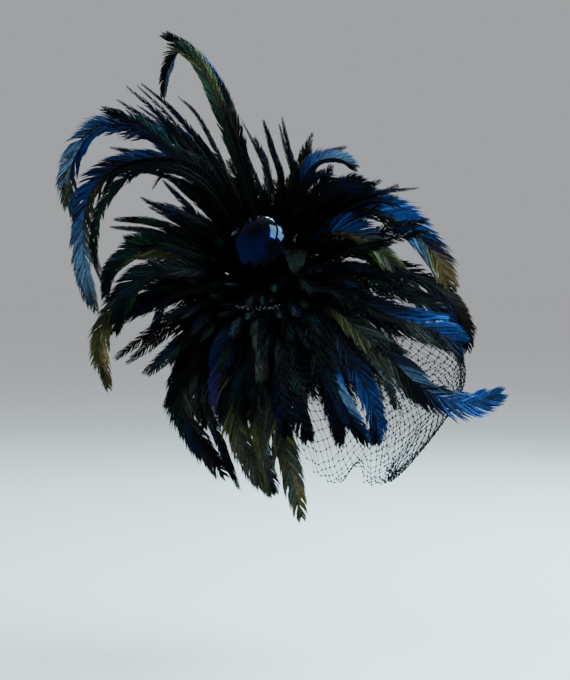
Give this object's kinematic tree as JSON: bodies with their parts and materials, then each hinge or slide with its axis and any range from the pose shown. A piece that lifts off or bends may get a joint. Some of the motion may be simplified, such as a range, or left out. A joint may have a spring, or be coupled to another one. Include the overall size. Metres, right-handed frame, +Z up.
{
  "type": "fascinator headpiece",
  "caption": "Fascinator headpiece: a clip-on felt cap with a raised plaque, a dark glass ball, long iridescent plumes, rows of hackle feathers and a dotted net veil.",
  "frame": {"origin": "where the crown of the wearer's head meets the middle of the cap's lining", "axes": "+Z up, -Y the way the wearer faces, +X towards the wearer's left"},
  "size_m": [0.3088, 0.4257, 0.4938],
  "materials": {
    "cap_felt": "black wool felt over stiffened buckram",
    "satin_lining": "black satin, smooth with a soft sheen",
    "ribbon": "black ribbed petersham ribbon",
    "steel_wire": "bright steel wire",
    "clip_steel": "plated spring steel",
    "mirror_glass": "dark blue mirrored glass",
    "cap_metal": "pressed aluminium, satin",
    "cut_beads": "cut glass beads, bright",
    "pale_flue": "fine pale green feather flue",
    "veil_net": "black nylon net with woven dots",
    "hackle_feather": "black hackle feather, soft green and blue sheen",
    "plume_feather": "black iridescent cock feather with blue, teal, olive and bronze patches"
  },
  "bodies": {
    "headpiece": {"base_cap": "cap_felt", "cap_lining": "satin_lining", "sweatband": "ribbon", "edge_wire": "steel_wire", "edge_piping": "ribbon", "wire_comb": "steel_wire", "clip_base_left": "clip_steel", "clip_pin_left": "clip_steel", "clip_spring_left": "clip_steel", "clip_base_right": "clip_steel", "clip_pin_right": "clip_steel", "clip_spring_right": "clip_steel", "stand": "cap_felt", "plaque": "cap_felt", "glass_ball": "mirror_glass", "ball_cap": "cap_metal", "ball_stem": "steel_wire", "bead_strand": "cut_beads", "flue_fan": "pale_flue", "veil_net": "veil_net", "veil_tape": "ribbon", "hackles_inner": "hackle_feather", "hackles_middle": "hackle_feather", "hackles_outer": "hackle_feather", "hackles_collar": "hackle_feather", "hackles_back": "hackle_feather", "plume_tall": "plume_feather", "plume_crook": "plume_feather", "plume_arch_upper": "plume_feather", "plume_arch_lower": "plume_feather", "plume_arch_inner": "plume_feather", "spikes_upper_left": "plume_feather", "spikes_left": "plume_feather", "spikes_top": "plume_feather", "plumes_crest_black": "plume_feather", "plume_side_upper": "plume_feather", "plume_side_long": "plume_feather", "plume_side_front": "plume_feather", "plumes_side_short": "plume_feather", "plume_crest_blue": "plume_feather", "plume_crest_bronze": "plume_feather", "plume_right_upper": "plume_feather", "plume_right_olive": "plume_feather", "plume_right_long": "plume_feather", "plume_right_fork": "plume_feather", "plume_right_blue": "plume_feather", "plume_right_upturned": "plume_feather", "drape_blue": "plume_feather", "drape_blue_edge": "plume_feather", "drapes_black": "plume_feather", "drape_long": "plume_feather", "drape_grey": "plume_feather", "drape_olive": "plume_feather", "drapes_narrow": "plume_feather", "drape_left": "plume_feather", "drape_violet": "plume_feather", "drape_cheek": "plume_feather"},
    "jaw_left": {"clip_jaw_left": "clip_steel"},
    "jaw_right": {"clip_jaw_right": "clip_steel"}
  },
  "joints": [
    {"name": "clip_left_hinge", "type": "hinge", "parent": "headpiece", "child": "jaw_left", "pos_m": [0.04521, 0, -0.02039], "axis": [0.8387, 0, -0.5446], "range_deg": [0, 24], "stiffness_Nm_per_rad": 0.02, "springref_deg": -34.38, "deforming": ["clip_spring_left"]},
    {"name": "clip_right_hinge", "type": "hinge", "parent": "headpiece", "child": "jaw_right", "pos_m": [-0.04521, 0, -0.02039], "axis": [0.8387, 0, 0.5446], "range_deg": [0, 24], "stiffness_Nm_per_rad": 0.02, "springref_deg": -34.38, "deforming": ["clip_spring_right"]}
  ]
}
